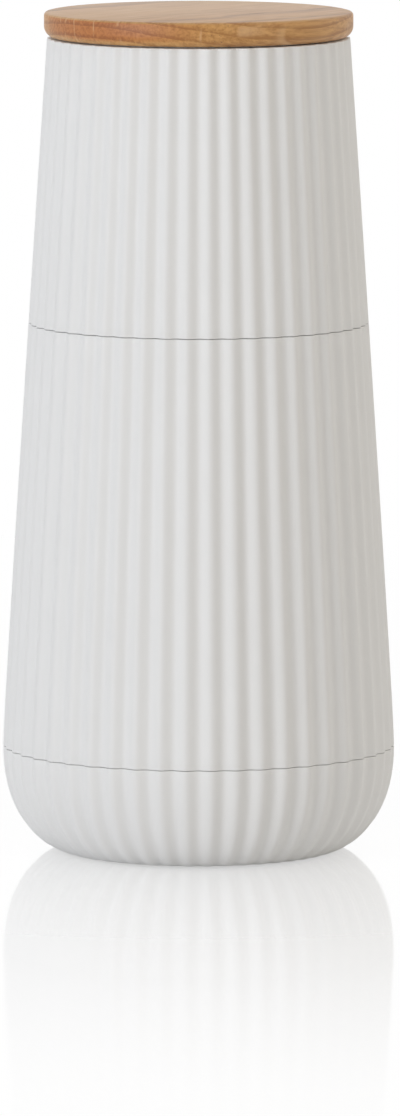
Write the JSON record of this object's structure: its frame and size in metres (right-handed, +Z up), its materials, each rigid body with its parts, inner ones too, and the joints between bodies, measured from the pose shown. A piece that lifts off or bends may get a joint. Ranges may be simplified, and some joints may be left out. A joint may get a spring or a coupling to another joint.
{
  "type": "salt and pepper mill",
  "caption": "Tall tapered mill for salt or pepper with a fluted body, a turning head, a ceramic conical grinder, a removable base cup and a lift-off oak lid.",
  "frame": {"origin": "centre of the foot, on the table", "axes": "+Z up along the axis of the mill, -Y towards the camera of the picture"},
  "size_m": [0.0798, 0.0798, 0.1714],
  "materials": {
    "shell": "matt white moulded plastic",
    "inner_plastic": "satin off-white moulded plastic",
    "grinder_plastic": "dark grey low-friction plastic",
    "silicone": "soft grey silicone",
    "ceramic": "sintered white ceramic, unglazed",
    "shaft_metal": "drawn square bar",
    "steel": "stainless fasteners and spring",
    "brass": "turned brass insert",
    "oak": "oiled oak, open grain"
  },
  "bodies": {
    "base": {"base_shell": "shell", "grounds_cup": "inner_plastic", "base_seal_ring": "silicone", "foot_ring": "silicone"},
    "mill_body": {"body_shell": "shell", "bottom_plate": "inner_plastic", "spice_chamber": "inner_plastic", "glide_ring": "grinder_plastic", "retaining_ring": "grinder_plastic", "grinder_housing": "grinder_plastic", "housing_screws": "steel", "outer_burr": "ceramic", "bearing_spider": "grinder_plastic"},
    "head": {"head_shell": "shell", "head_liner": "inner_plastic", "drive_bridge": "inner_plastic", "bridge_screws": "steel", "drive_shaft": "shaft_metal", "shaft_bush": "grinder_plastic", "shaft_clip": "steel", "end_clip": "steel", "shaft_washer": "steel", "shaft_screw": "steel"},
    "burr": {"inner_burr": "ceramic", "burr_core": "grinder_plastic", "burr_spring": "steel"},
    "dial": {"adjuster_dial": "grinder_plastic", "adjuster_nut": "brass"},
    "lid": {"lid_disc": "oak", "lid_plug": "inner_plastic", "lid_seal_ring": "silicone", "lid_screws": "steel"}
  },
  "joints": [
    {"name": "base_lift", "type": "slide", "parent": "base", "child": "mill_body", "axis": [0, 0, 1], "range_m": [0, 0.03]},
    {"name": "head_twist", "type": "hinge", "parent": "mill_body", "child": "head", "pos_m": [0, 0, 0.10815], "axis": [0, 0, 1], "continuous": true},
    {"name": "burr_lift", "type": "slide", "parent": "head", "child": "burr", "axis": [0, 0, 1], "range_m": [0, 0.00084], "deforming": ["burr_spring"]},
    {"name": "adjuster_turn", "type": "hinge", "parent": "burr", "child": "dial", "pos_m": [0, 0, 0.02405], "axis": [0, 0, 1], "range_deg": [0, 300]},
    {"name": "lid_lift", "type": "slide", "parent": "head", "child": "lid", "axis": [0, 0, 1], "range_m": [0, 0.03]}
  ],
  "couplings": [
    {"joint": "burr_lift", "follows": "adjuster_turn", "m_per_rad": 0.00015915}
  ]
}
